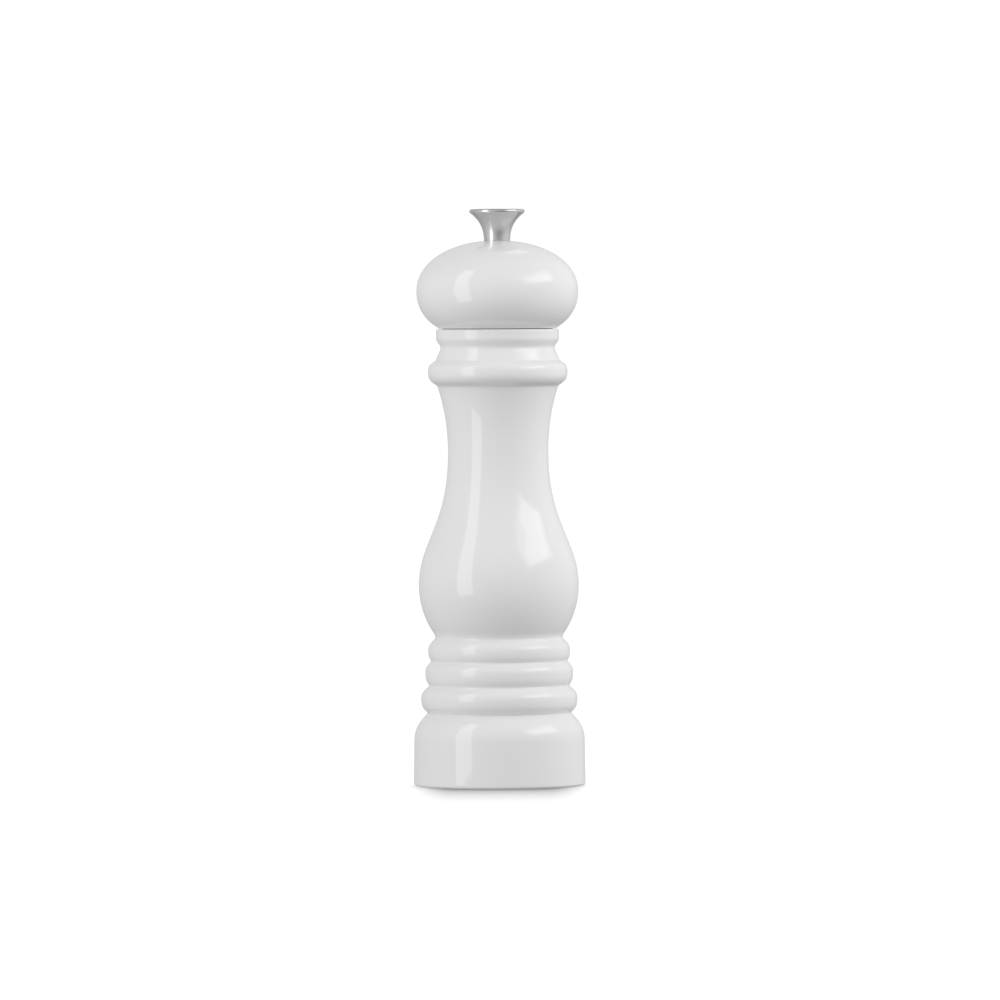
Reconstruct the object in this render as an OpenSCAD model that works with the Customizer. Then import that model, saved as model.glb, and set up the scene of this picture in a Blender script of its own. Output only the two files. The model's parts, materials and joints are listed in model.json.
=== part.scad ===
// Hand-turned pepper mill with a screw-down knob: gloss shell, lift-off head, square spindle,
// conical burr mechanism and a compression spring that opens the grind.
// The origin is the centre of the underside; +Z runs up the spindle. Sizes are in millimetres.

/* [Body] */
// Diameter of the foot
foot_d = 62.6; // [62:0.1:64]
// Height of the body up to the seam with the head
body_h = 166.3; // [166:0.1:166.5]
// Diameter at the widest point of the bulb
bulb_d = 58.3; // [57:0.1:60]
// Diameter at the waist
waist_d = 36.6; // [36.2:0.1:38]
// Diameter of the bead under the collar
bead_d = 50.9; // [50:0.1:52]
// Diameter of the collar at the mouth
collar_d = 44.9; // [44.6:0.1:45.6]
// Radius of the foot's lower edge
foot_round = 0.6; // [0.4:0.1:1.2]

/* [Head] */
// Diameter of the domed head
head_d = 59; // [58:0.1:60]
// Height of the domed head
head_h = 31.9; // [31.7:0.1:32.1]
// Gap between the head and the body
seam = 0.2; // [0.15:0.05:0.3]

/* [Knob] */
// Diameter of the knob's lip
knob_d = 20.3; // [19:0.1:22]
// Diameter of the knob's neck
knob_neck_d = 9.6; // [9.2:0.1:10]
// Height of the knob
knob_h = 11.6; // [11.2:0.1:12]

/* [Spindle] */
// Width across the flats of the square spindle
spindle_w = 6; // [5.8:0.1:6]
// Diameter of the spindle's thread
thread_d = 5; // [4.8:0.1:5]
// Diameter of the journal at the spindle's foot
journal_d = 4; // [3.8:0.1:4]

/* [Mechanism] */
// Number of fine teeth on the male burr
male_teeth = 24; // [18:1:28]
// Number of fine teeth on the female burr
female_teeth = 30; // [24:1:32]
// Number of coarse feed flutes on the male burr
feed_flutes = 6; // [4:1:8]
// Skew of the burr teeth in degrees
tooth_skew = 18; // [10:1:24]
// Diameter of the spring wire
wire_d = 0.9; // [0.7:0.1:1]
// Turns of the spring
spring_turns = 7; // [5:1:8]

/* [Fits] */
// Radial clearance of a part that turns in another
running_fit = 0.05; // [0.03:0.01:0.08]
// Radial clearance between the head's spigot and the mouth
spigot_fit = 0.3; // [0.25:0.05:0.4]
// Clearance of a part seated in another
seat_fit = 0.1; // [0.05:0.05:0.15]

/* [Hidden] */
$fn = 96;
eps = 0.01;

GLOSS_WHITE = [0.88, 0.88, 0.88];
MILKY_WHITE = [0.82, 0.81, 0.77];
MECHANISM_BLACK = [0.12, 0.12, 0.13];
CERAMIC = [0.90, 0.88, 0.82];
STEEL = [0.66, 0.66, 0.67];
ALUMINIUM = [0.75, 0.76, 0.78];

foot_r = foot_d / 2;
bulb_r = bulb_d / 2;
waist_r = waist_d / 2;
bead_r = bead_d / 2;
collar_r = collar_d / 2;
head_r = head_d / 2;
knob_r = knob_d / 2;

// Levels of the mechanism, from the underside up
bar_z = 2.5;
flange_z = 4;
flange_top = 7;
clip_z = 5.5;
rotor_z = 7.1;
burr_ring_z = 8.5;
burr_z = 10;
burr_top = 22;
hub_shoulder_z = 24.5;
bush_flange_z = 39.8;
spider_z = 41;
housing_top = 49;
liner_z = 49.2;
mouth_z = 150;
spigot_z = 153;
head_z = body_h + seam;
seat_z = head_z + head_h;
knob_z = seat_z;

// Radii of the seats inside the body
flange_r = 27;
barrel_r = 18.5;
burr_seat_r = 16.45;
feed_r = 14.3;
liner_r = 15.5;
mouth_r = 17.6;
liner_wall = 1.2;
screw_circle = 21.8;

// Screws: shank and head
screw_r = 1.3;
screw_head_r = 2.3;
screw_head_h = 1.3;

// The head's inside
core_r = 20.2;
core_t = 3;
spigot_wall = 1.8;
cap_screw_circle = 12;
plate_r = 9;
plate_t = 1.5;
plate_screw_circle = 6.6;

// ---------- outlines ----------

// Points on a cubic Bezier curve, without its last point, so that stretches join end to end
function curve(a, b, c, d, steps = 10) = [
    for (i = [0 : steps - 1]) let (t = i / steps, u = 1 - t)
        u * u * u * a + 3 * u * u * t * b + 3 * u * t * t * c + t * t * t * d
];

// Points on a circular arc, from angle a0 to a1
function arc(centre, r, a0, a1, steps = 6) = [
    for (i = [0 : steps]) let (a = a0 + (a1 - a0) * i / steps) centre + r * [cos(a), sin(a)]
];

// A turned ring that rises from groove p to its crest and falls to groove q
function ring(p, crest, q) = concat(
    curve(p, [p.x + 0.41 * (crest.x - p.x), p.y + 0.3 * (crest.y - p.y)],
        [crest.x, p.y + 0.2 * (crest.y - p.y)], crest, 8),
    curve(crest, [crest.x, crest.y + 0.64 * (q.y - crest.y)],
        [q.x + 0.05 * (crest.x - q.x), crest.y + 0.8 * (q.y - crest.y)], q, 8)
);

shoulder_z = 16;
groove_1 = [26.2, 26.4];
groove_2 = [25.65, 36.5];
groove_3 = [24.87, 45.4];
groove_4 = [23.25, 53.9];
bulb_foot = [24.5, 56.6];
bulb_z = 73;
waist_z = 121.5;
neck_top = [22, 145.4];
bead_z = 150.4;
bead_top = [22.6, 154.9];
cove = [20.8, 159.6];
collar_z = 163;
collar_round = 0.4;

// Outside of the body, from the foot up to the mouth
body_outline = concat(
    arc([foot_r - foot_round, foot_round], foot_round, -90, 0),
    curve([foot_r - 0.2, shoulder_z], [foot_r - 0.2, 20.5], [29.7, 23], groove_1),
    ring(groove_1, [28.5, 32], groove_2),
    ring(groove_2, [26.95, 41.5], groove_3),
    ring(groove_3, [25.85, 49.4], groove_4),
    curve(groove_4, [23.3, 54.8], [23.8, 55.6], bulb_foot, 5),
    curve(bulb_foot, [26.3, 59.4], [bulb_r, 65.4], [bulb_r, bulb_z], 12),
    curve([bulb_r, bulb_z], [bulb_r, 89.2], [waist_r, 94.7], [waist_r, waist_z], 24),
    curve([waist_r, waist_z], [waist_r, 130.5], [19.65, 138.2], neck_top, 12),
    curve(neck_top, [22.4, 146.3], [bead_r, 146.7], [bead_r, bead_z]),
    curve([bead_r, bead_z], [bead_r, 153.1], [24.9, 153.4], bead_top),
    curve(bead_top, [22.3, 156], [21, 158.3], cove, 8),
    curve(cove, [20.9, 160.6], [collar_r, 161.8], [collar_r, collar_z], 8),
    arc([collar_r - collar_round, body_h - collar_round], collar_round, 0, 90)
);

// Outside of the head, from its lower edge up to the knob's seat
head_crest_z = head_z + 13.6;
head_lip = 0.35;
head_outline = concat(
    [[21.4, head_z]],
    curve([21.75, head_z + head_lip], [25.6, head_z + 2.5],
        [head_r, head_z + 6.8], [head_r, head_crest_z], 16),
    curve([head_r, head_crest_z], [head_r, head_z + 24], [18.4, seat_z - 1.2], [5, seat_z], 24),
    [[5, seat_z]]
);

// Outside of the knob, from its neck up to the lip
lip_round = 0.85;
lip_z = knob_z + knob_h - lip_round;
dish_r = 8;
dish_z = lip_z + 0.25;
knob_outline = concat(
    curve([knob_neck_d / 2, knob_z], [knob_neck_d / 2, knob_z + 5],
        [knob_neck_d / 2 + 2, knob_z + 7.8], [knob_r - 0.5, lip_z - 0.8], 14),
    arc([knob_r - lip_round, lip_z], lip_round, -60, 90, 8)
);

// ---------- shared shapes ----------

// A ring between two radii
module tube(outer, inner, low, high) {
    difference() {
        translate([0, 0, low]) cylinder(h = high - low, r = outer);
        translate([0, 0, low - 1]) cylinder(h = high - low + 2, r = inner);
    }
}

// Copies its children at equal angles round the spindle
module around(count, radius, first = 0) {
    for (i = [0 : count - 1])
        rotate([0, 0, first + i * 360 / count]) translate([radius, 0, 0]) children();
}

// A pan-head screw that points up, with its head's seat at height z
module screw_up(z, length) {
    difference() {
        union() {
            translate([0, 0, z - screw_head_h]) cylinder(h = screw_head_h, r = screw_head_r);
            translate([0, 0, z - eps]) cylinder(h = length + eps, r = screw_r);
        }
        for (turn = [0, 90])
            rotate([0, 0, turn])
                translate([-1.4, -0.3, z - screw_head_h - 1]) cube([2.8, 0.6, 1.7]);
    }
}

module screw_hole(low, high) {
    translate([0, 0, low]) cylinder(h = high - low, r = screw_r + 0.02);
}

module square_hole(low, high) {
    side = spindle_w + 2 * running_fit;
    translate([-side / 2, -side / 2, low]) cube([side, side, high - low]);
}

// A V-shaped cutter that lies along a cone from [radius, height] low to high, and cuts to a depth
module tooth_cutter(low, high, depth, half_width, skew) {
    run = norm(high - low);
    lean = atan2(low.x - high.x, high.y - low.y);
    translate([low.x, 0, low.y])
        rotate([0, -lean, 0])
            rotate([skew, 0, 0])
                translate([0, 0, -2])
                    linear_extrude(height = run + 4)
                        polygon([[-depth, 0], [depth, 2 * half_width], [depth, -2 * half_width]]);
}

// ---------- body: what the hand holds ----------

module body_shell() {
    bore_r = liner_r + seat_fit;
    well_r = barrel_r + 1.8;
    color(GLOSS_WHITE)
        difference() {
            rotate_extrude()
                polygon(concat([[bore_r, 0]], body_outline, [[bore_r, body_h]]));
            // The hollow between the outer wall and the hopper, round the bulb
            rotate_extrude()
                polygon(concat([[bore_r - 1, 58]], curve([bore_r, 58], [22, 58], [26, 64], [26, bulb_z]),
                    curve([26, bulb_z], [26, 85], [bore_r + 2.4, 92], [bore_r, 106]),
                    [[bore_r, 106], [bore_r - 1, 106]]));
            // The hollow in the foot, round the mechanism, with a post for each screw
            difference() {
                rotate_extrude()
                    polygon([[well_r, flange_top - 1], [26.6, flange_top - 1], [26.6, 18], [22.9, 24], [22, 44],
                        [well_r, 44]]);
                around(4, screw_circle)
                    translate([0, 0, flange_top - 2]) cylinder(h = 14, r = 3);
            }
            translate([0, 0, -1]) cylinder(h = flange_top + 1, r = flange_r + 0.2);
            translate([0, 0, -1]) cylinder(h = liner_z + 1, r = barrel_r + seat_fit);
            translate([0, 0, mouth_z]) cylinder(h = body_h, r = mouth_r);
            around(4, screw_circle) screw_hole(flange_top - 1, flange_top + 9);
        }
}

module hopper_liner() {
    color(MILKY_WHITE)
        difference() {
            union() {
                translate([0, 0, liner_z]) cylinder(h = mouth_z - liner_z + 1, r = liner_r);
                translate([0, 0, mouth_z]) cylinder(h = 1.5, r = mouth_r - seat_fit);
            }
            translate([0, 0, liner_z - 1]) cylinder(h = body_h, r = liner_r - liner_wall);
        }
}

module mechanism_housing() {
    hub_r = 8.5;
    arm_w = 3;
    color(MECHANISM_BLACK)
        difference() {
            union() {
                translate([0, 0, flange_z]) cylinder(h = flange_top - flange_z, r = flange_r);
                translate([0, 0, flange_z]) cylinder(h = housing_top - flange_z, r = barrel_r);
            }
            translate([0, 0, flange_z - 1]) cylinder(h = burr_top - flange_z + 1, r = burr_seat_r);
            difference() {
                translate([0, 0, burr_top - 1]) cylinder(h = housing_top, r = feed_r);
                translate([0, 0, spider_z]) cylinder(h = 7, r = hub_r);
                around(3, 0, 60)
                    translate([0, -arm_w / 2, spider_z + 2]) cube([feed_r + 1, arm_w, 5]);
            }
            translate([0, 0, spider_z - 1]) cylinder(h = 10, r = 6 + running_fit);
            around(4, screw_circle) screw_hole(flange_z - 1, flange_top + 1);
            around(2, screw_circle, 90)
                translate([0, 0, flange_z - 1]) cylinder(h = 1 + screw_head_h, r = screw_head_r + 0.2);
        }
}

// Inner cone of the female burr, as [radius, height] from the bottom up
female_cone = [[14.2, burr_z], [12.6, burr_z + 4], [12.2, burr_top]];
male_cone = [[13.6, rotor_z + 1.5], [13.6, burr_z], [12, burr_z + 4], [8.3, burr_top + 1]];

module female_burr() {
    outer = burr_seat_r - running_fit;
    color(CERAMIC)
        difference() {
            rotate_extrude()
                polygon(concat(female_cone, [[outer, burr_top], [outer, burr_z]]));
            around(female_teeth, 0)
                mirror([0, 1, 0])
                    tooth_cutter(female_cone[0] + [0.3, -0.5], female_cone[1] + [0.3, 0.5],
                        -0.8, 0.25, tooth_skew);
            around(8, outer, 22.5)
                translate([-0.8, -1, burr_z - 1]) cube([2, 2, 5]);
        }
}

module burr_retaining_ring() {
    color(STEEL)
        difference() {
            tube(burr_seat_r - running_fit, 14.7, burr_ring_z, burr_z);
            translate([0, -1.5, burr_ring_z - 1]) cube([20, 3, 4]);
        }
}

module bottom_bar() {
    bar_w = 9;
    color(STEEL)
        difference() {
            intersection() {
                translate([-30, -bar_w / 2, bar_z]) cube([60, bar_w, flange_z - bar_z]);
                translate([0, 0, bar_z - 1]) cylinder(h = 4, r = flange_r - 0.4);
            }
            translate([0, 0, bar_z - 1]) cylinder(h = 4, r = journal_d / 2 + running_fit);
            around(2, screw_circle) screw_hole(bar_z - 1, flange_z + 1);
            around(2, 10.5)
                translate([0, 0, bar_z - 1]) cylinder(h = 4, r = 2.4);
        }
}

module bar_screws() {
    color(STEEL) around(2, screw_circle) screw_up(bar_z, 11);
}

module housing_screws() {
    color(STEEL) around(2, screw_circle, 90) screw_up(flange_z + screw_head_h, 8);
}

// ---------- drive: turns with the head, stays at its height ----------

module spindle_bush() {
    color(STEEL)
        difference() {
            union() {
                translate([0, 0, bush_flange_z]) cylinder(h = spider_z - bush_flange_z, r = 7.2);
                translate([0, 0, spider_z - eps]) cylinder(h = 8, r = 6);
            }
            square_hole(bush_flange_z - 1, housing_top + 1);
        }
}

// One ring of points round the spring wire at a share t of its length
function wire_ring(t, low, high, coil_r, sides) =
    let (
        turn = 360 * spring_turns * t,
        closed = 1 / spring_turns,
        rise = t < closed ? 0.5 * t * t / closed
             : t > 1 - closed ? 1 - closed - 0.5 * (1 - t) * (1 - t) / closed
             : t - 0.5 * closed,
        z = low + wire_d / 2 + (high - low - wire_d) * rise / (1 - closed)
    )
    [for (k = [0 : sides - 1]) let (a = 360 * k / sides, r = coil_r + wire_d / 2 * cos(a))
        [r * cos(turn), r * sin(turn), z + wire_d / 2 * sin(a)]];

module spring() {
    sides = 8;
    rings = 20 * spring_turns;
    points = [for (i = [0 : rings]) each
        wire_ring(i / rings, hub_shoulder_z, bush_flange_z, 5.65, sides)];
    skin = [for (i = [0 : rings - 1], k = [0 : sides - 1]) let (n = (k + 1) % sides)
        [i * sides + k, i * sides + n, (i + 1) * sides + n, (i + 1) * sides + k]];
    ends = [[for (k = [sides - 1 : -1 : 0]) k], [for (k = [0 : sides - 1]) rings * sides + k]];
    color(STEEL) polyhedron(points, concat(skin, ends), convexity = 10);
}

// ---------- spindle: turns with the head, rises as the knob is tightened ----------

spindle_foot_z = 1.8;
square_top_z = seat_z - 8.4;
spindle_top_z = seat_z + 7.6;

module spindle() {
    groove_r = journal_d / 2 - 0.5;
    color(ALUMINIUM)
        difference() {
            union() {
                translate([0, 0, spindle_foot_z])
                    cylinder(h = rotor_z - spindle_foot_z + eps, r = journal_d / 2);
                translate([-spindle_w / 2, -spindle_w / 2, rotor_z])
                    cube([spindle_w, spindle_w, square_top_z - rotor_z]);
                translate([0, 0, square_top_z - eps])
                    cylinder(h = spindle_top_z - square_top_z - 0.6 + eps, r = thread_d / 2);
                translate([0, 0, spindle_top_z - 0.6])
                    cylinder(h = 0.6, r1 = thread_d / 2, r2 = thread_d / 2 - 0.6);
            }
            tube(5, groove_r, clip_z, clip_z + 0.8);
        }
}

hub_r = 6.9;
key_w = 2;

module rotor_hub() {
    color(MECHANISM_BLACK)
        difference() {
            union() {
                translate([0, 0, rotor_z]) cylinder(h = 1.5, r = 10);
                translate([0, 0, rotor_z]) cylinder(h = hub_shoulder_z - rotor_z, r = hub_r);
                translate([0, 0, rotor_z]) cylinder(h = 27 - rotor_z, r = 4.9);
                around(4, 0, 45)
                    translate([0, -key_w / 2, rotor_z]) cube([hub_r + 0.8, key_w, 10]);
            }
            square_hole(rotor_z - 1, 30);
        }
}

module male_burr() {
    bore = hub_r + running_fit;
    color(CERAMIC)
        difference() {
            rotate_extrude()
                polygon(concat([[bore, rotor_z + 1.5]], male_cone, [[bore, burr_top + 1]]));
            around(4, 0, 45)
                translate([0, -key_w / 2 - running_fit, rotor_z])
                    cube([hub_r + 0.9, key_w + 2 * running_fit, 10.1]);
            around(male_teeth, 0)
                tooth_cutter(male_cone[1], male_cone[2], 0.8, 0.45, tooth_skew);
            around(feed_flutes, 0, 7)
                tooth_cutter(male_cone[2] + [0, 1], male_cone[3], 1.3, 1.2, 1.6 * tooth_skew);
        }
}

module rotor_washer() {
    color(STEEL) tube(6, journal_d / 2 + running_fit, rotor_z - 0.8, rotor_z);
}

module retaining_clip() {
    color(STEEL)
        difference() {
            tube(4, journal_d / 2 - 0.5 + 0.02, clip_z, clip_z + 0.8);
            translate([0, -1.1, clip_z - 1]) cube([6, 2.2, 3]);
            around(2, 2.9, 110)
                translate([0, 0, clip_z - 1]) cylinder(h = 3, r = 0.7);
        }
}

// ---------- head ----------

module cap_shell() {
    floor_z = head_z + core_t - 0.5;
    ceiling = seat_z - 3;
    cavity_r = head_r - 3;
    color(GLOSS_WHITE)
        difference() {
            rotate_extrude()
                polygon(concat([[0, head_z]], head_outline, [[0, seat_z]]));
            translate([0, 0, head_z - 1]) cylinder(h = core_t + 1, r = core_r + seat_fit);
            difference() {
                rotate_extrude()
                    polygon(concat([[0, floor_z]],
                        curve([cavity_r - 7.5, floor_z], [cavity_r - 2.5, head_z + 5],
                            [cavity_r, head_z + 8], [cavity_r, head_crest_z]),
                        curve([cavity_r, head_crest_z], [cavity_r, head_z + 22],
                            [16, ceiling - 0.8], [6, ceiling]),
                        [[6, ceiling], [0, ceiling]]));
                translate([0, 0, head_z + core_t + 6]) cylinder(h = head_h, r = 6.8);
                around(3, cap_screw_circle, 90)
                    translate([0, 0, head_z + core_t]) cylinder(h = head_h, r = 3);
            }
            translate([0, 0, head_z + core_t]) cylinder(h = head_h - core_t - 6, r = 4.7);
            translate([0, 0, head_z + head_h - 10]) cylinder(h = 20, r = thread_d / 2 + 0.4);
            translate([0, 0, seat_z - 0.5]) cylinder(h = 1, r = 4.6);
            around(3, cap_screw_circle, 90) screw_hole(head_z + core_t - 1, head_z + core_t + 10);
        }
}

module cap_core() {
    spigot_r = mouth_r - spigot_fit;
    plate_z = head_z;
    color(MECHANISM_BLACK)
        difference() {
            union() {
                translate([0, 0, head_z]) cylinder(h = core_t, r = core_r);
                tube(spigot_r, spigot_r - spigot_wall, spigot_z, head_z + eps);
                // The face that rubs on the body's rim
                tube(core_r, spigot_r - 0.5, body_h + running_fit, head_z + eps);
            }
            translate([0, 0, head_z - 1]) cylinder(h = core_t + 2, r = spindle_w / 2 * sqrt(2) + 0.5);
            translate([0, 0, plate_z - 1]) cylinder(h = 1 + plate_t, r = plate_r + seat_fit);
            around(3, cap_screw_circle, 90) screw_hole(head_z - 1, head_z + core_t + 1);
            around(2, plate_screw_circle) screw_hole(head_z, head_z + core_t + 1);
        }
}

module cap_screws() {
    color(STEEL) around(3, cap_screw_circle, 90) screw_up(head_z, 11);
}

module drive_plate() {
    color(STEEL)
        difference() {
            translate([0, 0, head_z]) cylinder(h = plate_t, r = plate_r);
            square_hole(head_z - 1, head_z + plate_t + 1);
            around(2, plate_screw_circle) screw_hole(head_z - 1, head_z + plate_t + 1);
        }
}

module drive_plate_screws() {
    color(STEEL) around(2, plate_screw_circle) screw_up(head_z, core_t);
}

module knob_washer() {
    color(MILKY_WHITE) tube(4.5, thread_d / 2 + 0.3, seat_z - 0.5, seat_z);
}

module knob() {
    bore_top = spindle_top_z + 1.6;
    color(STEEL)
        difference() {
            rotate_extrude()
                polygon(concat([[0, knob_z]], knob_outline, [[dish_r, dish_z], [0, dish_z]]));
            translate([0, 0, knob_z - 1])
                cylinder(h = bore_top - knob_z + 1, r = thread_d / 2 + running_fit);
        }
}

body_shell();
hopper_liner();
mechanism_housing();
female_burr();
burr_retaining_ring();
bottom_bar();
bar_screws();
housing_screws();
spindle_bush();
spring();
spindle();
rotor_hub();
male_burr();
rotor_washer();
retaining_clip();
cap_shell();
cap_core();
cap_screws();
drive_plate();
drive_plate_screws();
knob_washer();
knob();
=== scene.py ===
"""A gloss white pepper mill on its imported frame: turned shells, a satin steel knob and the burr mechanism."""

import json
import math

import bmesh
import bpy
import numpy as np
from mathutils import Matrix, Vector

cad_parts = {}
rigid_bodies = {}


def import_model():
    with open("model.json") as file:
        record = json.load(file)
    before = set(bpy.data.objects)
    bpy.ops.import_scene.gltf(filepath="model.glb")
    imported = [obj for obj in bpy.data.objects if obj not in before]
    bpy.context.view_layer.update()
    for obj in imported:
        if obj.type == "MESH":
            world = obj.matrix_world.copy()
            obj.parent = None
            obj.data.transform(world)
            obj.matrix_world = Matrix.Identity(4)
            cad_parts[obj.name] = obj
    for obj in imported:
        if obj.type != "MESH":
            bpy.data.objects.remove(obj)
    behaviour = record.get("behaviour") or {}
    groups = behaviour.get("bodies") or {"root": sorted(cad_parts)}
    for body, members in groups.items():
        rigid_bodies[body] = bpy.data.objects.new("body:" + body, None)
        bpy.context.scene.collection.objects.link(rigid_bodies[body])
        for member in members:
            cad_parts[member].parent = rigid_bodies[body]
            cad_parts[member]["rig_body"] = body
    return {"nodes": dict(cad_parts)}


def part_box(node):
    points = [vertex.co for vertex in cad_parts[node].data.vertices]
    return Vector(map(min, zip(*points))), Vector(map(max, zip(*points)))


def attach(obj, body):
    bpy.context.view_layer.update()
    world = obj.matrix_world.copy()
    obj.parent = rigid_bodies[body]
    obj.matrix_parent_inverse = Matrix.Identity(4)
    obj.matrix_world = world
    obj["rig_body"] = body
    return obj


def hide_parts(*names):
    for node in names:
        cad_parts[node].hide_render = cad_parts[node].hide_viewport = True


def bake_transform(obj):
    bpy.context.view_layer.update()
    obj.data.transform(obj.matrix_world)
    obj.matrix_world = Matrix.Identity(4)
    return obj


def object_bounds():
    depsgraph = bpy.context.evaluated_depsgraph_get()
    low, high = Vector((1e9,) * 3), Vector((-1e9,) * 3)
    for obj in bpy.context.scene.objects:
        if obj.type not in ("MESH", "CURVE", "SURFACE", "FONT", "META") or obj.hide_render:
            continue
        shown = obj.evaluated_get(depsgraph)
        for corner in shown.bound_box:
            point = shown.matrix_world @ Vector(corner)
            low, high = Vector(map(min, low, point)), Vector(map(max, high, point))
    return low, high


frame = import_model()
cad_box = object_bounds()
NODES = frame["nodes"]

MM = 0.001
FULL = 2 * math.pi


# ---------- places, read from the frame ----------

def low(node):
    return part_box(node)[0].z


def high(node):
    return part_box(node)[1].z


def radius(node):
    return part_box(node)[1].x


def outer_outline(node):
    """The outside of a turned CAD node as (radius, height) points, from its lowest edge up."""
    widest = {}
    for x, y, z in (vertex.co for vertex in NODES[node].data.vertices):
        if x > 0 and abs(y) < 1e-6:
            z = round(z, 6)
            widest[z] = max(widest.get(z, 0), x)
    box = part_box(node)
    reach = min(-box[0].x, -box[0].y, box[1].x, box[1].y)
    points = [(min(r, reach), z) for z, r in sorted(widest.items())]
    # A point of the hollow's wall lies well inside the chord of its neighbours, and is dropped
    wall = 0.6 * MM
    inside = True
    while inside:
        inside = []
        for i in range(1, len(points) - 1):
            (r0, z0), (r1, z1), (r2, z2) = points[i - 1: i + 2]
            chord = r0 + (r2 - r0) * (z1 - z0) / (z2 - z0)
            if chord - r1 > wall:
                inside.append(i)
        points = [p for i, p in enumerate(points) if i not in inside]
    return points


# ---------- outlines ----------

def spline(points, spacing):
    """A smooth line through the points, broken at each corner and at both ends of a long straight stretch."""
    corner, straight = 28, 4  # least turn in degrees, and how many times its neighbour's length
    pts = np.array(points, float)
    steps = np.diff(pts, axis=0)
    length = np.hypot(*steps.T)
    heading = np.unwrap(np.arctan2(steps[:, 1], steps[:, 0]))
    turn = np.degrees(np.abs(np.diff(heading)))
    uneven = np.maximum(length[1:], length[:-1]) / np.minimum(length[1:], length[:-1])
    stops = [0] + [i + 1 for i in range(len(turn)) if turn[i] > corner or uneven[i] > straight]
    stops.append(len(pts) - 1)
    line = []
    for a, b in zip(stops[:-1], stops[1:]):
        stretch = pts[a: b + 1]
        along = np.concatenate([[0], np.cumsum(length[a:b])])
        count = max(1, round(along[-1] / spacing))
        at = np.linspace(0, along[-1], count + 1)[:-1]
        if len(stretch) < 3:
            line += [tuple(stretch[0] + (stretch[1] - stretch[0]) * s / along[-1]) for s in at[:1]]
            continue
        slope = np.gradient(stretch, along, axis=0, edge_order=2)
        for s in at:
            i = min(np.searchsorted(along, s, side="right") - 1, len(stretch) - 2)
            gap = along[i + 1] - along[i]
            t = (s - along[i]) / gap
            p = ((1 + 2 * t) * (1 - t) ** 2 * stretch[i] + t * (1 - t) ** 2 * gap * slope[i]
                 + t * t * (3 - 2 * t) * stretch[i + 1] + t * t * (t - 1) * gap * slope[i + 1])
            line.append(tuple(p))
    return line + [tuple(pts[-1])]


def eased(points, size):
    """The closed outline with each sharp corner rounded off, by size or by what its neighbours leave."""
    least_bend, share, steps = 25, 0.45, 3
    count = len(points)
    out = []
    for i, point in enumerate(points):
        p, a, b = (np.array(points[j % count], float) for j in (i, i - 1, i + 1))
        la, lb = np.linalg.norm(a - p), np.linalg.norm(b - p)
        u, v = (a - p) / la, (b - p) / lb
        bend = math.degrees(math.acos(max(-1, min(1, -float(u @ v)))))
        if bend < least_bend:
            out.append(point)
            continue
        reach = min(size, share * la, share * lb)
        start, end = p + u * reach, p + v * reach
        for k in range(steps + 1):
            t = k / steps
            out.append(tuple((1 - t) ** 2 * start + 2 * t * (1 - t) * p + t * t * end))
    return out


# ---------- meshes ----------

def new_object(name, mesh, material, sharp=32):
    mesh.materials.append(material)
    mesh.shade_smooth()
    mesh.set_sharp_from_angle(angle=math.radians(sharp))
    piece = bpy.data.objects.new(name, mesh)
    bpy.context.scene.collection.objects.link(piece)
    return piece


def angles(segments):
    return np.arange(segments) * FULL / segments


def lathe(name, rows, material, segments=128, closed=True, sharp=32, roll=0):
    """A turned mesh. Each row is (radius, height) or (radius, height, twist), and any of them may be an array
    with a value for each column. A closed outline runs round a hollow, and an open one starts and ends on the
    axis. Where the last row is twisted by whole columns, roll says by how many, so it meets the first."""
    base = angles(segments)
    points, rings = [], []
    for r, z, *twist in rows:
        turn = base + (twist[0] if twist else 0)
        r, z = np.broadcast_to(r, segments), np.broadcast_to(z, segments)
        if float(np.max(r)) < 1e-9:
            rings.append([len(points)] * segments)
            points.append((0, 0, float(z[0])))
            continue
        rings.append(list(range(len(points), len(points) + segments)))
        points += list(zip(r * np.cos(turn), r * np.sin(turn), z))
    pairs = list(zip(rings[:-1], rings[1:]))
    if closed:
        pairs.append((rings[-1], [rings[0][(i + roll) % segments] for i in range(segments)]))
    faces = []
    for lower, upper in pairs:
        for i in range(segments):
            j = (i + 1) % segments
            corners = [lower[i], lower[j], upper[j], upper[i]]
            faces.append(list(dict.fromkeys(corners)))
    mesh = bpy.data.meshes.new(name)
    mesh.from_pydata([tuple(map(float, p)) for p in points], [], faces)
    outward(mesh)
    return new_object(name, mesh, material, sharp)


def outward(mesh):
    work = bmesh.new()
    work.from_mesh(mesh)
    bmesh.ops.recalc_face_normals(work, faces=work.faces)
    work.to_mesh(mesh)
    work.free()


def copies(name, piece, places):
    """One object made of the piece, repeated at each (x, y, turn)."""
    work = bmesh.new()
    for x, y, turn in places:
        first = len(work.verts)
        work.from_mesh(piece.data)
        work.verts.ensure_lookup_table()
        move = Matrix.Translation((x, y, 0)) @ Matrix.Rotation(turn, 4, "Z")
        bmesh.ops.transform(work, matrix=move, verts=work.verts[first:])
    mesh = bpy.data.meshes.new(name)
    work.to_mesh(mesh)
    work.free()
    material = piece.data.materials[0]
    bpy.data.objects.remove(piece)
    return new_object(name, mesh, material)


def baked(piece):
    """The piece's modifiers become its mesh."""
    ready = piece.evaluated_get(bpy.context.evaluated_depsgraph_get())
    mesh = bpy.data.meshes.new_from_object(ready)
    piece.modifiers.clear()
    piece.data = mesh
    return piece


def carve(piece, cutter):
    cut = piece.modifiers.new("carve", "BOOLEAN")
    cut.operation, cut.solver, cut.object = "DIFFERENCE", "EXACT", cutter
    baked(piece)
    bpy.data.objects.remove(cutter)
    return piece


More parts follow.
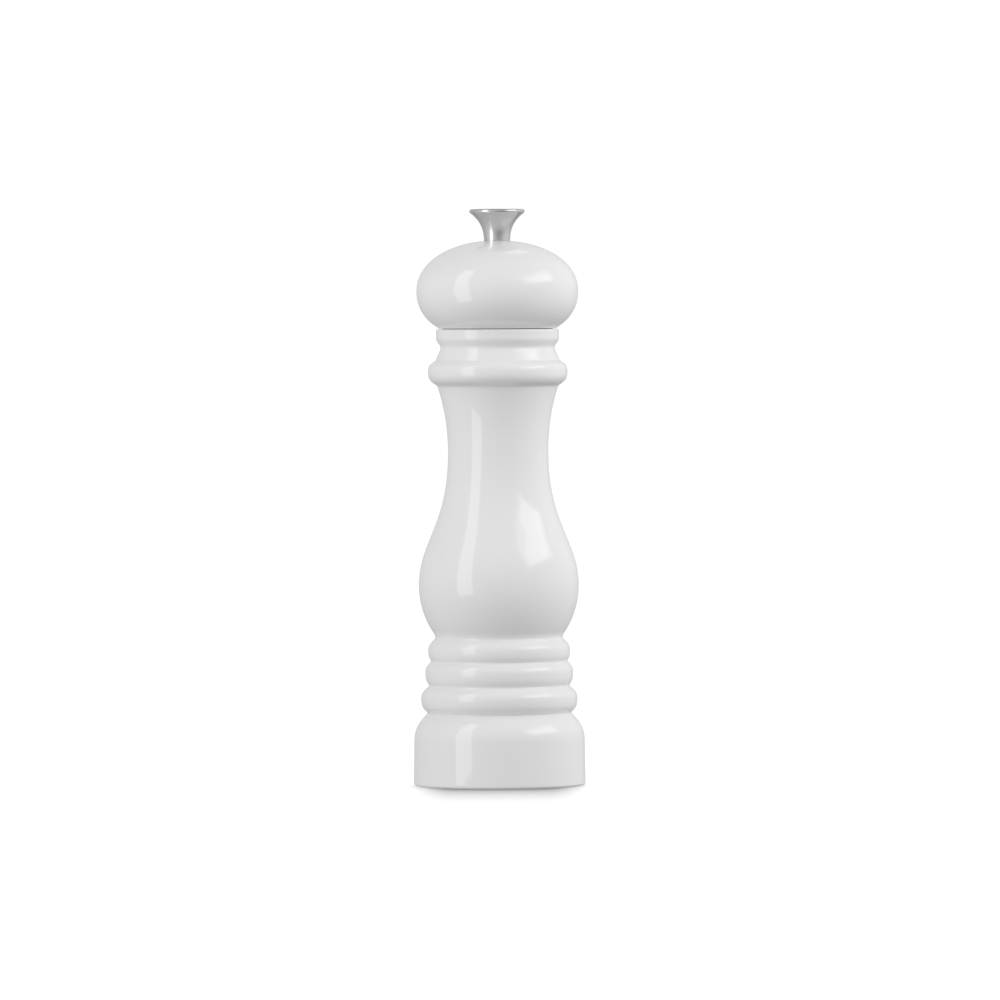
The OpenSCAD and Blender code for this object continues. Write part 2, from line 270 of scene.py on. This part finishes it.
def softened(node, material, width):
    """A copy of a CAD node with its sharp edges rounded over, as moulding or tumbling leaves them."""
    work = bmesh.new()
    work.from_mesh(NODES[node].data)
    bmesh.ops.remove_doubles(work, verts=work.verts, dist=1e-7)
    bmesh.ops.dissolve_limit(work, angle_limit=math.radians(0.6), verts=work.verts, edges=work.edges)
    mesh = bpy.data.meshes.new(node + "_softened")
    work.to_mesh(mesh)
    work.free()
    piece = new_object(node + "_softened", mesh, material, 30)
    bevel = piece.modifiers.new("edges", "BEVEL")
    bevel.width, bevel.segments, bevel.angle_limit = width, 2, math.radians(38)
    bevel.harden_normals = True
    return baked(piece)


def stand_for(piece, node):
    """The piece takes the place of a CAD node and moves with its body."""
    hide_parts(node)
    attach(piece, NODES[node]["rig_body"])
    return piece


def square(half, segments):
    """Radius at each angle of a square bar with eased corners."""
    corner = 0.35 * MM
    turn = (angles(segments) + math.pi / 4) % (math.pi / 2) - math.pi / 4
    flat = half / np.cos(turn)
    return np.minimum(flat, half * math.sqrt(2) - corner)


def thread_rows(core, crest, pitch, bottom, top, segments, per_turn=12):
    """Rows of a right-hand screw thread, which runs in over half a turn and out over a whole one."""
    phase = angles(segments) / FULL
    count = round((top - bottom) / pitch * per_turn)
    rows = []
    for i in range(count + 1):
        z = bottom + (top - bottom) * i / count
        place = (z / pitch - phase) % 1
        ridge = np.clip(1.25 - 4 * np.abs(place - 0.5), 0, 1)
        fade = min(1, (top - z) / pitch, (z - bottom) / (0.5 * pitch) + 0.02)
        rows.append((core + (crest - core) * ridge * max(fade, 0), z))
    return rows


# ---------- materials ----------

def math_node(tree, operation, first, second, clamp=False):
    """The result of a maths node in the tree. Each input is a number or another node's output."""
    node = tree.nodes.new("ShaderNodeMath")
    node.operation, node.use_clamp = operation, clamp
    for socket, value in zip(node.inputs, (first, second)):
        if isinstance(value, (int, float)):
            socket.default_value = value
        else:
            tree.links.new(value, socket)
    return node.outputs["Value"]


class Nodes:
    """Short names for building a node material."""

    def __init__(self, name, **values):
        self.material = bpy.data.materials.new(name)
        self.material.use_nodes = True
        self.tree = self.material.node_tree
        self.shader = self.tree.nodes["Principled BSDF"]
        for socket, value in values.items():
            self.shader.inputs[socket.replace("_", " ")].default_value = value

    def add(self, kind, **settings):
        node = self.tree.nodes.new("ShaderNode" + kind)
        for key, value in settings.items():
            if key in node.inputs:
                node.inputs[key].default_value = value
            else:
                setattr(node, key, value)
        return node

    def link(self, source, output, target, socket):
        self.tree.links.new(source.outputs[output], target.inputs[socket])

    def math(self, operation, first, second, clamp=False):
        return math_node(self.tree, operation, first, second, clamp)

    def length(self, x, y):
        squares = self.math("ADD", self.math("MULTIPLY", x, x), self.math("MULTIPLY", y, y))
        return self.math("SQRT", squares, 0)

    def decay(self, distance, start, reach):
        """A value that falls off from its start with distance, and holds inside."""
        ratio = self.math("DIVIDE", self.math("MAXIMUM", distance, 0.0), -reach)
        return self.math("MULTIPLY", self.math("EXPONENT", ratio, 0), start)

    def fade(self, value, full, none):
        """1 at and before full, and 0 at and after none."""
        ramp = self.add("MapRange", interpolation_type="SMOOTHSTEP")
        for socket, limit in {"From Min": full, "From Max": none, "To Min": 1, "To Max": 0}.items():
            ramp.inputs[socket].default_value = limit
        self.tree.links.new(value, ramp.inputs["Value"])
        return ramp.outputs["Result"]

    def place(self, scale=(1, 1, 1)):
        """The piece's own coordinates in metres, stretched."""
        coords = self.add("TexCoord")
        mapping = self.add("Mapping")
        mapping.inputs["Scale"].default_value = scale
        self.link(coords, "Object", mapping, "Vector")
        return mapping

    def noise(self, vector, scale, detail=2.0, rough=0.5):
        noise = self.add("TexNoise", Scale=scale, Detail=detail, Roughness=rough)
        self.link(vector, "Vector", noise, "Vector")
        return noise

    def drive(self, source, output, socket, least, most):
        """A shader value that follows a noise texture, which hardly leaves 0.3 to 0.7, between two limits."""
        ramp = self.add("MapRange")
        for name, limit in {"From Min": 0.3, "From Max": 0.7, "To Min": least, "To Max": most}.items():
            ramp.inputs[name].default_value = limit
        self.link(source, output, ramp, "Value")
        self.link(ramp, "Result", self.shader, socket)

    def tint(self, source, output, dark, light):
        """A base colour that follows a texture between two shades."""
        mix = self.add("Mix", data_type="RGBA")
        first, second, blended = 6, 7, 2  # the colour sockets, whose names other sockets share
        mix.inputs[first].default_value = (*dark, 1)
        mix.inputs[second].default_value = (*light, 1)
        self.link(source, output, mix, "Factor")
        self.tree.links.new(mix.outputs[blended], self.shader.inputs["Base Color"])

    def bump(self, source, output, height, strength=1.0):
        """Fine relief, with its height in metres."""
        bump = self.add("Bump", Strength=strength, Distance=height)
        self.link(source, output, bump, "Height")
        self.link(bump, "Normal", self.shader, "Normal")


def gloss_white():
    """Injection-moulded shell under clear lacquer: even, very slightly rippled, with a hard gloss."""
    m = Nodes("gloss_white", Coat_Weight=0.35, Coat_Roughness=0.03, Specular_IOR_Level=0.5)
    m.tint(m.noise(m.place(), 18, 3), "Fac", (0.832, 0.833, 0.835), (0.848, 0.849, 0.850))
    m.drive(m.noise(m.place(), 240, 4), "Fac", "Roughness", 0.05, 0.08)
    m.bump(m.noise(m.place(), 150, 2), "Fac", 0.004 * MM, 0.6)
    return m.material


def turned_steel(name, shade, rough, spacing, depth):
    """Metal finished on a lathe: rings round the axis with long faint scratches."""
    m = Nodes(name, Metallic=1.0, Anisotropic=0.7, Anisotropic_Rotation=0.25)
    coords = m.add("TexCoord")
    split = m.add("SeparateXYZ")
    m.link(coords, "Object", split, "Vector")
    x, y = split.outputs["X"], split.outputs["Y"]
    rings = m.add("CombineXYZ")
    m.tree.links.new(m.length(x, y), rings.inputs["X"])
    m.link(split, "Z", rings, "Z")
    grooves = m.noise(rings, 1 / spacing, 3, 0.7)
    m.tint(grooves, "Fac", [0.90 * c for c in shade], shade)
    m.drive(grooves, "Fac", "Roughness", rough - 0.05, rough + 0.07)
    m.bump(grooves, "Fac", depth, 0.5)
    tangent = m.add("Tangent", direction_type="RADIAL", axis="Z")
    m.link(tangent, "Tangent", m.shader, "Tangent")
    return m.material


def plated_steel():
    """Pressed steel with bright zinc plating."""
    m = Nodes("plain_steel", Metallic=1.0)
    cloud = m.noise(m.place(), 260, 4)
    m.tint(cloud, "Fac", (0.50, 0.50, 0.51), (0.62, 0.62, 0.64))
    m.drive(cloud, "Fac", "Roughness", 0.24, 0.36)
    m.bump(m.noise(m.place(), 2600, 2), "Fac", 0.002 * MM, 0.5)
    return m.material


def drawn_aluminium():
    """Drawn bar with fine lines along its length."""
    m = Nodes("spindle_aluminium", Metallic=1.0)
    lines = m.noise(m.place((1, 1, 0.02)), 2200, 3, 0.7)
    m.tint(lines, "Fac", (0.66, 0.67, 0.68), (0.82, 0.83, 0.84))
    m.drive(lines, "Fac", "Roughness", 0.26, 0.40)
    m.bump(lines, "Fac", 0.004 * MM, 0.5)
    return m.material


def black_moulding():
    """Glass-filled black plastic with a fine spark texture."""
    m = Nodes("mechanism_black", Specular_IOR_Level=0.45)
    grain = m.noise(m.place(), 1500, 3, 0.6)
    m.tint(m.noise(m.place(), 90, 3), "Fac", (0.020, 0.020, 0.022), (0.034, 0.034, 0.037))
    m.drive(grain, "Fac", "Roughness", 0.42, 0.58)
    m.bump(grain, "Fac", 0.012 * MM, 0.6)
    return m.material


def milky_moulding():
    """Unpainted translucent plastic."""
    m = Nodes("milky_plastic", Subsurface_Weight=0.25, Subsurface_Scale=0.002)
    m.tint(m.noise(m.place(), 60, 2), "Fac", (0.74, 0.73, 0.68), (0.80, 0.79, 0.75))
    m.drive(m.noise(m.place(), 700, 3), "Fac", "Roughness", 0.38, 0.50)
    m.bump(m.noise(m.place(), 1300, 2), "Fac", 0.004 * MM, 0.5)
    return m.material


def fired_ceramic():
    """Unglazed white ceramic with a fine dry grain."""
    m = Nodes("burr_ceramic", Specular_IOR_Level=0.4)
    grain = m.noise(m.place(), 2400, 4, 0.65)
    m.tint(grain, "Fac", (0.76, 0.72, 0.64), (0.86, 0.83, 0.77))
    m.drive(grain, "Fac", "Roughness", 0.55, 0.72)
    m.bump(grain, "Fac", 0.014 * MM, 0.7)
    return m.material


WHITE = gloss_white()
KNOB_STEEL = turned_steel("brushed_steel", (0.66, 0.66, 0.665), 0.20, 0.08 * MM, 0.002 * MM)
STEEL = plated_steel()
ALUMINIUM = drawn_aluminium()
BLACK = black_moulding()
MILKY = milky_moulding()
CERAMIC = fired_ceramic()


# ---------- shells ----------

SHELL_SEGMENTS = 224
OUTLINE_STEP = 0.7 * MM
LINER_COLLAR = 1.5 * MM


def body_shell():
    """The body, bored for the hopper's liner, with a well and a recess for the mechanism below."""
    outside = spline(outer_outline("body_shell"), OUTLINE_STEP)
    mouth, mouth_floor = radius("hopper_liner") + 0.1 * MM, high("hopper_liner") - LINER_COLLAR
    bore, bore_foot = radius("hopper_liner") - 1.9 * MM, low("hopper_liner")
    recess, recess_top = radius("mechanism_housing") + 0.2 * MM, 7 * MM
    well = 18.6 * MM
    top = outside[-1][1]
    inside = [
        (mouth, top), (mouth, mouth_floor), (bore, mouth_floor), (bore, bore_foot), (well, bore_foot),
        (well, recess_top), (recess, recess_top), (recess, 0),
    ]
    rows = eased(outside + inside, 0.35 * MM)
    piece = lathe("body_shell_turned", rows, WHITE, SHELL_SEGMENTS)
    return stand_for(piece, "body_shell")


def cap_shell():
    """The head, hollow under its dome. Its lip stands steeper above the seam than the CAD's outline does."""
    outside = spline(outer_outline("cap_shell"), OUTLINE_STEP)
    foot, crown = outside[0][1], outside[-1][1]
    outside[0] = ((outside[0][0] + outside[1][0]) / 2, foot)
    core = radius("cap_core") + 0.1 * MM
    seat, seat_floor = radius("knob_washer") + 0.1 * MM, crown - 0.5 * MM
    hole, hole_foot = 2.9 * MM, crown - 3 * MM
    dome = [(6, 3.2), (16, 4.4), (23.5, 10), (26.5, 17)]  # radius and depth below the crown
    inside = [(seat, crown), (seat, seat_floor), (hole, seat_floor), (hole, hole_foot)]
    inside += [(r * MM, crown - depth * MM) for r, depth in dome]
    inside += [(25.5 * MM, foot + 8 * MM), (core, foot + 3 * MM), (core, foot)]
    rows = eased(outside + inside, 0.3 * MM)
    piece = lathe("cap_shell_turned", rows, WHITE, SHELL_SEGMENTS)
    return stand_for(piece, "cap_shell")


def knob():
    """The knob, dished on top, with the plain bore that takes the spindle's thread."""
    outside = spline(outer_outline("knob"), 0.3 * MM)
    foot, crown = outside[0][1], outside[-1][1]
    rim = outside[0][0]
    bore, bore_end = 2.55 * MM, foot + 9.2 * MM
    chamfer, ease = 0.3 * MM, 0.05 * MM
    dish = [(0, 0.7), (4, 0.66), (7.4, 0.5), (8.6, 0.12)]  # radius and depth below the crown
    rows = [(0, bore_end), (bore, bore_end), (bore, foot + chamfer), (bore + chamfer, foot)]
    rows += [(rim - ease, foot), (rim, foot + ease)] + outside[1:]
    rows += spline([(r * MM, crown - depth * MM) for r, depth in dish], 0.4 * MM)[::-1]
    piece = lathe("knob_turned", rows, KNOB_STEEL, 160, closed=False, sharp=40)
    return stand_for(piece, "knob")


# ---------- hopper, washers ----------

def hopper_liner():
    """A thin tube with a collar that sits in the body's mouth."""
    foot, crown = low("hopper_liner"), high("hopper_liner")
    lip, outer = radius("hopper_liner"), radius("hopper_liner") - 2 * MM
    bore, collar = outer - 1.2 * MM, crown - LINER_COLLAR
    rows = [
        (bore, foot), (outer, foot), (outer, collar), (lip, collar),
        (lip, crown), (bore + 0.5 * MM, crown), (bore, crown - 0.9 * MM),
    ]
    piece = lathe("hopper_liner_tube", eased(rows, 0.3 * MM), MILKY)
    return stand_for(piece, "hopper_liner")


def washer(node, bore, material, ease=0.12 * MM):
    """A flat ring with eased edges, as high and as wide as its CAD node."""
    rows = [(bore, low(node)), (radius(node), low(node)), (radius(node), high(node)), (bore, high(node))]
    piece = lathe(node + "_pressed", eased(rows, ease), material, 96)
    return stand_for(piece, node)


# ---------- spindle ----------

def spindle():
    """A square bar, turned down at its foot for the bottom bar and the clip, and threaded on top."""
    segments = 96
    foot, crown = low("spindle"), high("spindle")
    journal, groove = 2 * MM, 1.5 * MM
    shoulder = low("rotor_hub")
    clip_low, clip_high = low("retaining_clip"), high("retaining_clip")
    core, crest, pitch = 2.03 * MM, 2.48 * MM, 0.8 * MM
    thread_foot = crown - 16 * MM
    chamfer = 0.35 * MM
    bar = square(radius("spindle"), segments)
    rows = [
        (0, foot), (journal - chamfer, foot), (journal, foot + chamfer),
        (journal, clip_low), (groove, clip_low), (groove, clip_high), (journal, clip_high),
        (journal, shoulder), (np.minimum(bar, 3.1 * MM), shoulder), (bar, shoulder + 0.3 * MM),
        (bar, thread_foot - 0.9 * MM), (np.minimum(bar, 2.9 * MM), thread_foot - 0.2 * MM),
        (core, thread_foot),
    ]
    rows += thread_rows(core, crest, pitch, thread_foot + 0.4 * MM, crown - 0.5 * MM, segments)
    rows += [(core - 0.1 * MM, crown - 0.2 * MM), (core - 0.5 * MM, crown), (0, crown)]
    piece = lathe("spindle_bar", rows, ALUMINIUM, segments, closed=False)
    return stand_for(piece, "spindle")


# ---------- burrs ----------

BURR_COLUMNS = 360  # one for each degree


def saw(teeth):
    """Depth of a tooth, from 0 on its land to 1 at the root of its steep side."""
    columns = BURR_COLUMNS // teeth
    step = np.arange(BURR_COLUMNS) % columns
    land, wall = 2, 2
    fall = (step - land) / wall
    climb = (columns - step) / (columns - land - wall)
    return np.clip(np.where(step < land, 0, np.minimum(fall, climb)), 0, 1)


def flute(count, width):
    """Depth of coarse flutes, width columns wide."""
    columns = BURR_COLUMNS // count
    step = np.abs((np.arange(BURR_COLUMNS) + columns / 3) % columns - columns / 2)
    return np.clip(1 - step / (width / 2), 0, 1) ** 0.8


def notched(plain, cut, count, first, width, twist=0):
    """A radius that steps to cut in count equal places, width degrees wide, the first of them at first."""
    turn = np.degrees(angles(BURR_COLUMNS) + twist) - first
    off = np.abs((turn + 180 / count) % (360 / count) - 180 / count)
    return np.where(off < width / 2, cut, plain)


def along(z, *stops):
    """A value at height z between stops of (height, value)."""
    heights, values = zip(*stops)
    return float(np.interp(z, heights, values))


def male_burr():
    """The turning burr: fine teeth round its rim, six coarse flutes up its cone, and keyways in its bore."""
    twist = -36  # degrees from foot to crown
    foot, crown = low("male_burr"), high("male_burr")
    rim, neck = foot + 1.4 * MM, foot + 5.4 * MM
    bore, key = 6.95 * MM, 7.8 * MM
    crest = ((foot, 13.6 * MM), (rim, 13.6 * MM), (neck, 12 * MM), (crown, 8.3 * MM))
    tooth = ((neck - 0.6 * MM, 0.8 * MM), (neck + 1.2 * MM, 0))
    groove = (
        (neck - 1 * MM, 0), (neck + 1.6 * MM, 1.5 * MM), (crown - 3 * MM, 1.5 * MM), (crown, 0.8 * MM),
    )
    skew = ((foot, 0), (neck, math.radians(-8)), (crown, math.radians(twist)))
    edge, ease = 0.2 * MM, 0.25 * MM
    levels = [foot + 0.15 * MM, foot + 0.8 * MM] + list(np.linspace(rim, crown - edge, 24))
    rows = []
    for z in levels:
        r = along(z, *crest) - along(z, *tooth) * saw(24) - along(z, *groove) * flute(6, 26)
        rows.append((r, z, along(z, *skew)))
    end = skew[-1][1]
    keyed = notched(bore, key, 4, 45, 17, end)
    rows.insert(0, (rows[0][0] - 0.15 * MM, foot, 0))
    rows += [
        (rows[-1][0] - edge, crown, end), (bore + ease, crown, end), (bore, crown - ease, end),
        (bore, foot + 8.7 * MM, end), (keyed, foot + 8.6 * MM, end), (keyed, foot, end),
    ]
    piece = lathe("male_burr_toothed", rows, CERAMIC, BURR_COLUMNS, roll=twist)
    return stand_for(piece, "male_burr")


def female_burr():
    """The fixed burr: fine teeth in its throat, six coarse flutes above them, and slots round its foot."""
    twist = 17  # degrees from foot to crown
    foot, crown = low("female_burr"), high("female_burr")
    outer, notch = radius("female_burr"), radius("female_burr") - 0.8 * MM
    throat = foot + 4 * MM
    crest = ((foot, 14.2 * MM), (throat, 12.6 * MM), (crown, 12.2 * MM))
    tooth = ((throat, 0.75 * MM), (throat + 1.8 * MM, 0))
    groove = ((throat + 0.4 * MM, 0), (throat + 2.6 * MM, 1.3 * MM), (crown, 1.7 * MM))
    skew = ((foot, 0), (crown, math.radians(twist)))
    end = skew[-1][1]
    chamfer, edge, ease = 0.3 * MM, 0.25 * MM, 0.2 * MM
    rows = []
    for z in np.linspace(foot + 0.15 * MM, crown - edge, 26):
        r = along(z, *crest) + along(z, *tooth) * saw(30) + along(z, *groove) * flute(6, 30)
        rows.append((r, z, along(z, *skew)))
    slotted = notched(outer, notch, 8, 22.5, 7, end)
    rows.insert(0, (rows[0][0] + 0.15 * MM, foot, 0))
    rows += [
        (rows[-1][0] + edge, crown, end), (outer - chamfer, crown, end), (outer, crown - chamfer, end),
        (outer, throat + 0.1 * MM, end), (slotted, throat, end), (slotted, foot + ease, end),
        (notched(outer - ease, notch - 0.1 * MM, 8, 22.5, 7, end), foot, end),
    ]
    piece = lathe("female_burr_toothed", rows, CERAMIC, BURR_COLUMNS, roll=twist)
    return stand_for(piece, "female_burr")


# ---------- spring ----------

def spring():
    """Seven turns of round wire with a closed turn at each end."""
    turns, wire, sides, per_turn = 7, 0.45 * MM, 12, 40
    foot, crown = low("spring"), high("spring")
    coil = radius("spring") - wire
    points = []
    count = turns * per_turn
    closed = 1 / turns
    for i in range(count + 1):
        # The wire climbs evenly, but levels off over the first turn and the last one
        t = i / count
        rise = 0.5 * t * t / closed if t < closed else t - 0.5 * closed
        if t > 1 - closed:
            rise = 1 - closed - 0.5 * (1 - t) ** 2 / closed
        z = foot + wire + (crown - foot - 2 * wire) * rise / (1 - closed)
        turn = FULL * turns * t
        for k in range(sides):
            a = FULL * k / sides
            r = coil + wire * math.cos(a)
            points.append((r * math.cos(turn), r * math.sin(turn), z + wire * math.sin(a)))
    faces = [tuple(range(sides)), tuple(range(count * sides, (count + 1) * sides))]
    for i in range(count):
        for k in range(sides):
            n = (k + 1) % sides
            faces.append((i * sides + k, i * sides + n, (i + 1) * sides + n, (i + 1) * sides + k))
    mesh = bpy.data.meshes.new("spring_coil")
    mesh.from_pydata(points, [], faces)
    outward(mesh)
    piece = new_object("spring_coil", mesh, STEEL, 50)
    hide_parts("spring")
    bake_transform(piece)
    return piece


# ---------- screws ----------

def plus_shape(arm, half):
    """Outline of a cross recess."""
    corners = [(arm, half), (half, half), (half, arm)]
    outline = []
    for k in range(4):
        c, s = round(math.cos(k * math.pi / 2)), round(math.sin(k * math.pi / 2))
        outline += [(c * x - s * y, s * x + c * y) for x, y in corners]
    return outline


def tapered(name, lower, z_low, upper, z_high):
    """A closed solid between two outlines."""
    count = len(lower)
    points = [(x, y, z_low) for x, y in lower] + [(x, y, z_high) for x, y in upper]
    faces = [tuple(range(count)), tuple(range(2 * count - 1, count - 1, -1))]
    faces += [(i, i + count, (i + 1) % count + count, (i + 1) % count) for i in range(count)]
    mesh = bpy.data.meshes.new(name)
    mesh.from_pydata(points, [], faces)
    outward(mesh)
    return new_object(name, mesh, STEEL)


def screws(node, circle, turns):
    """Pan-head screws that point up, with a cross recess and a cut thread, at turns round a circle."""
    head, head_r, shank = 1.3 * MM, 2.3 * MM, 1.3 * MM
    foot, crown = low(node), high(node)
    seat = foot + head
    segments, pitch = 48, 0.9 * MM
    rows = [
        (0, foot), (0.8 * head_r, foot), (0.93 * head_r, foot + 0.12 * MM), (head_r, foot + 0.45 * MM),
        (head_r, seat - 0.12 * MM), (head_r - 0.12 * MM, seat), (shank - 0.05 * MM, seat),
        (shank - 0.25 * MM, seat + 0.3 * MM),
    ]
    rows += thread_rows(shank - 0.3 * MM, shank, pitch, seat + 0.35 * MM, crown - 0.7 * MM, segments, 10)
    rows += [(0.55 * shank, crown - 0.25 * MM), (0.2 * shank, crown), (0, crown)]
    piece = lathe(node + "_turned", rows, STEEL, segments, closed=False)
    recess = tapered("recess", plus_shape(1.45 * MM, 0.34 * MM), foot - 0.1 * MM,
                     plus_shape(0.95 * MM, 0.2 * MM), foot + 0.8 * MM)
    carve(piece, recess)
    places = []
    for k, turn in enumerate(turns):
        a = math.radians(turn)
        places.append((circle * math.cos(a), circle * math.sin(a), a + 0.7 * k))
    return stand_for(copies(node + "_set", piece, places), node)


body_shell()
cap_shell()
knob()
hopper_liner()
washer("rotor_washer", 2.05 * MM, STEEL)
washer("knob_washer", 2.8 * MM, MILKY, 0.08 * MM)
spindle()
male_burr()
female_burr()
spring()
body_circle, cap_circle, plate_circle = 21.8 * MM, 12 * MM, 6.6 * MM
screws("bar_screws", body_circle, (0, 180))
screws("housing_screws", body_circle, (90, 270))
screws("cap_screws", cap_circle, (90, 210, 330))
screws("drive_plate_screws", plate_circle, (0, 180))

# Pieces that keep the CAD's shape with rounded edges: material, slot and width of the rounding in millimetres
SOFTENED = {
    "mechanism_housing": (BLACK, "mechanism_black", 0.3), "rotor_hub": (BLACK, "mechanism_black", 0.25),
    "cap_core": (BLACK, "mechanism_black", 0.25), "bottom_bar": (STEEL, "plain_steel", 0.2),
    "burr_retaining_ring": (STEEL, "plain_steel", 0.15), "retaining_clip": (STEEL, "plain_steel", 0.1),
    "drive_plate": (STEEL, "plain_steel", 0.15), "spindle_bush": (STEEL, "plain_steel", 0.2),
}
for name, (material, slot, width) in SOFTENED.items():
    stand_for(softened(name, material, width * MM), name)


# ---------- studio ----------

def toward(azimuth, elevation):
    """The direction of a light. Azimuth 0 is at the camera's side and grows to the right."""
    a, e = math.radians(azimuth), math.radians(elevation)
    return Vector((math.sin(a) * math.cos(e), -math.cos(a) * math.cos(e), math.sin(e)))


def softbox(name, azimuth, elevation, width, height, radiance, distance=1.2, upright=False, roll=0):
    """A panel of light that fills width by height degrees, as seen from the mill's middle. It faces the mill
    or stands upright beside it, and roll leans its top to the left."""
    aim = (cad_box[0] + cad_box[1]) / 2
    size = [2 * distance * math.tan(math.radians(angle) / 2) for angle in (width, height)]
    if upright:
        foot, crown = (math.tan(math.radians(elevation + s * height / 2)) for s in (-1, 1))
        aim = aim + Vector((0, 0, distance * (foot + crown) / 2))
        size[1] = distance * (crown - foot)
        elevation = 0
    light = bpy.data.lights.new(name, "AREA")
    light.shape = "RECTANGLE"
    light.size, light.size_y = size
    light.energy = radiance * math.pi * size[0] * size[1]
    lamp = bpy.data.objects.new(name, light)
    away = toward(azimuth, elevation)
    lamp.location = aim + away * distance
    lamp.rotation_euler = away.to_track_quat("Z", "Y").to_euler()
    lamp.rotation_euler.rotate_axis("Z", math.radians(roll))
    lamp.visible_camera = False
    bpy.context.scene.collection.objects.link(lamp)
    return lamp


def world():
    """White behind the mill, and round it a tent of soft broad glows that its gloss reflects."""
    backdrop = 1.05
    made = bpy.data.worlds.new("tent")
    bpy.context.scene.world = made
    made.use_nodes = True
    tree = made.node_tree
    tree.nodes.clear()
    new = tree.nodes.new
    coords = new("ShaderNodeTexCoord")
    total = TENT_BASE
    for azimuth, elevation, radiance in TENT_GLOWS:
        facing = new("ShaderNodeVectorMath")
        facing.operation = "DOT_PRODUCT"
        facing.inputs[1].default_value = toward(azimuth, elevation)
        tree.links.new(coords.outputs["Generated"], facing.inputs[0])
        near = math_node(tree, "MAXIMUM", facing.outputs["Value"], 0.0)
        glow = math_node(tree, "MULTIPLY", math_node(tree, "POWER", near, 2.0), radiance)
        total = math_node(tree, "ADD", glow, total)
    tent, white = new("ShaderNodeBackground"), new("ShaderNodeBackground")
    tree.links.new(total, tent.inputs["Strength"])
    tent.inputs["Color"].default_value = (1, 1, 1, 1)
    white.inputs["Color"].default_value = (1, 1, 1, 1)
    white.inputs["Strength"].default_value = backdrop
    path, mix, out = new("ShaderNodeLightPath"), new("ShaderNodeMixShader"), new("ShaderNodeOutputWorld")
    tree.links.new(path.outputs["Is Camera Ray"], mix.inputs["Fac"])
    tree.links.new(tent.outputs[0], mix.inputs[1])
    tree.links.new(white.outputs[0], mix.inputs[2])
    tree.links.new(mix.outputs[0], out.inputs["Surface"])


def floor():
    """A plain pale floor, wider than the view and bright enough that its end doesn't show, with a painted
    shadow of the mill in front of the foot, darkening its colour and glow as a light behind the mill would."""
    half = 12
    mesh = bpy.data.meshes.new("floor")
    corners = [(-half, -half, 0), (half, -half, 0), (half, half, 0), (-half, half, 0)]
    mesh.from_pydata(corners, [], [(0, 1, 2, 3)])
    m = Nodes("floor_paper", Roughness=0.9, Specular_IOR_Level=0.1)
    m.shader.inputs["Emission Color"].default_value = (1, 1, 1, 1)
    split = m.add("SeparateXYZ")
    m.link(m.place(), "Vector", split, "Vector")
    x, y = split.outputs["X"], split.outputs["Y"]
    # Painted shadow: from here on, the floor's colour and glow are darkened by a formula in front of and round
    # the foot; no lamp casts it.
    foot = m.math("SUBTRACT", m.length(x, y), radius("body_shell"))
    beside = m.fade(m.math("ABSOLUTE", x, 0), 17 * MM, 37 * MM)
    ahead = m.fade(y, -15 * MM, 10 * MM)
    painted_shadow_falloff = m.math("ADD", m.decay(foot, 0.63, 62 * MM), m.decay(foot, 0.12, 8 * MM))
    painted_cast_shadow = m.math("MULTIPLY", m.math("MULTIPLY", beside, ahead), painted_shadow_falloff)
    painted_contact_shadow = m.decay(foot, 0.08, 6 * MM)
    # dark is the depth of the painted shade: the painted cast shadow and the painted contact shadow added
    # together.
    dark = m.math("ADD", painted_cast_shadow, painted_contact_shadow)
    unshaded_share = m.math("SUBTRACT", 1.0, dark, clamp=True)
    # What is left after the painted shade scales both the base colour and the glow.
    m.tree.links.new(m.math("MULTIPLY", unshaded_share, FLOOR_BASE), m.shader.inputs["Base Color"])
    m.tree.links.new(m.math("MULTIPLY", unshaded_share, FLOOR_GLOW), m.shader.inputs["Emission Strength"])
    m.material.cycles.emission_sampling = "NONE"
    piece = new_object("floor", mesh, m.material)
    piece.visible_diffuse = False
    piece.visible_glossy = False
    piece.visible_shadow = False


def camera():
    """The photograph's view: a long lens 3.6 m away at the head's height, tipped down and hardly leaning."""
    distance, height, target, aside = 3.6, 0.176, 0.104, 0.6 * MM
    film, focal, lean = 36, 355.8, -0.29
    lens = bpy.data.cameras.new("camera")
    lens.sensor_width = film
    lens.lens = focal
    made = bpy.data.objects.new("camera", lens)
    made.location = (aside, -distance, height)
    made.rotation_euler = Vector((0, distance, target - height)).to_track_quat("-Z", "Y").to_euler()
    made.rotation_euler.rotate_axis("Z", math.radians(lean))
    bpy.context.scene.collection.objects.link(made)
    bpy.context.scene.camera = made


# Glows of the tent: azimuth, elevation and radiance at the middle, from below the mill up
TENT_GLOWS = [
    (-90, -45, 0.35),
    (-120, 0, 0.08), (-60, 0, 0.47), (90, 0, 0.65), (120, 0, 0.12), (180, 0, 0.31),
    (-30, 20, 0.32), (0, 20, 0.13), (-120, 25, 0.14), (60, 25, 0.21),
    (0, 45, 0.12), (180, 45, 0.39),
]
TENT_BASE = 0.03
FLOOR_BASE, FLOOR_GLOW = 0.45, 0.76

world()
floor()
softbox("left_strip", -54, 22, 23, 76, 1.4, distance=0.42, upright=True, roll=7)
softbox("right_softbox", 69, 35, 50, 26, 0.87, distance=3, roll=5)
softbox("right_core", 69, 32, 38, 16, 1.0, distance=3, roll=5)
softbox("back_strip", 166, 55, 8, 16, 0.6)
for name, azimuth, elevation, radiance in (("front_fill", 60, 30, 0.70), ("side_fill", 100, 10, 0.52)):
    softbox(name, azimuth, elevation, 50, 40, radiance, distance=0.45).visible_glossy = False
camera()
scene = bpy.context.scene
scene.view_settings.view_transform = "Standard"
